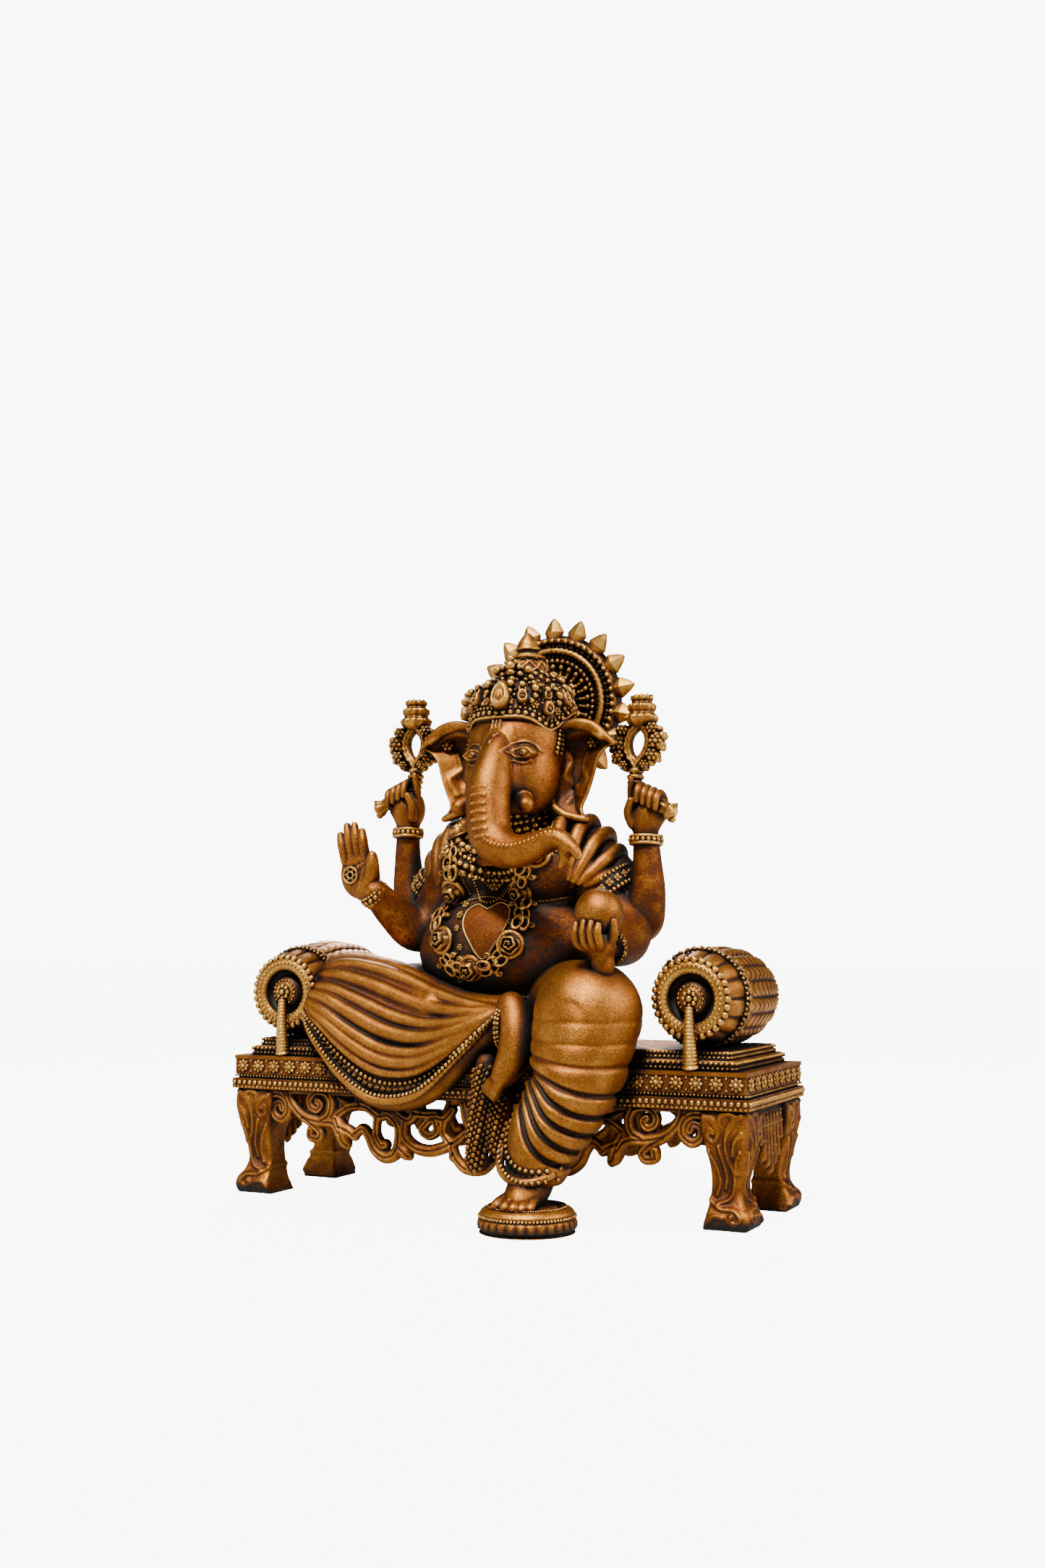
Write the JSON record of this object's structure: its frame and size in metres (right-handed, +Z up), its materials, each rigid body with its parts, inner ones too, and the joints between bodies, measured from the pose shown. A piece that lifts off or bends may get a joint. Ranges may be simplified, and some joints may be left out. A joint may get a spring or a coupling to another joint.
{
  "type": "deity statue",
  "caption": "Seated elephant-headed deity figurine with a halo wheel, reclining on an ornate carved settee with bolster cushions and a round footstool.",
  "frame": {"origin": "middle of the footprint's bounding box, at the level of the surface that it stands on", "axes": "+X along the settee towards the figure's left, -Y is the front that the figure faces, +Z is up"},
  "size_m": [0.1206, 0.0614, 0.129],
  "materials": {
    "skin_resin": "antique gold metallic paint, satin, dark wash in the recesses",
    "cloth_resin": "antique gold metallic paint, satin",
    "settee_resin": "antique gold metallic paint over near-black wash",
    "cushion_resin": "antique copper-gold metallic paint, near-black wash",
    "ornament_resin": "antique gold highlights over near-black wash",
    "pendant_resin": "fine-grained olive bronze"
  },
  "bodies": {
    "root": {"anklet_right": "ornament_resin", "apron_back": "settee_resin", "apron_front": "settee_resin", "apron_left": "settee_resin", "apron_right": "settee_resin", "arm_lower_left": "skin_resin", "arm_lower_right": "skin_resin", "arm_upper_left": "skin_resin", "arm_upper_right": "skin_resin", "armlet_left": "ornament_resin", "armlet_right": "ornament_resin", "bangle_lower_left": "ornament_resin", "bangle_lower_right": "ornament_resin", "bangle_upper_left": "ornament_resin", "bangle_upper_right": "ornament_resin", "bench_slab": "settee_resin", "bolster_left": "cushion_resin", "bolster_right": "cushion_resin", "bolster_tassel_left": "cushion_resin", "bolster_tassel_right": "cushion_resin", "collar": "ornament_resin", "crown_band": "ornament_resin", "crown_dome": "ornament_resin", "crown_finial": "ornament_resin", "dhoti_left": "cloth_resin", "dhoti_right": "cloth_resin", "ear_left": "skin_resin", "ear_right": "skin_resin", "foot_left": "skin_resin", "foot_right": "skin_resin", "footstool": "settee_resin", "garland": "ornament_resin", "goad_handle": "ornament_resin", "goad_right": "ornament_resin", "halo_pin": "ornament_resin", "halo_wheel": "ornament_resin", "hand_blessing": "skin_resin", "hand_sweet": "skin_resin", "hand_upper_left": "skin_resin", "hand_upper_right": "skin_resin", "head": "skin_resin", "heart_pendant": "pendant_resin", "leg_back_left": "settee_resin", "leg_back_right": "settee_resin", "leg_front_left": "settee_resin", "leg_front_right": "settee_resin", "noose_handle": "ornament_resin", "noose_left": "ornament_resin", "sash_tassel": "cloth_resin", "seat_mattress": "cushion_resin", "shawl_left": "cloth_resin", "shawl_right": "cloth_resin", "sweet_ball": "skin_resin", "torso": "skin_resin", "trunk": "skin_resin", "tusk_left": "skin_resin", "tusk_right": "skin_resin"}
  },
  "joints": []
}
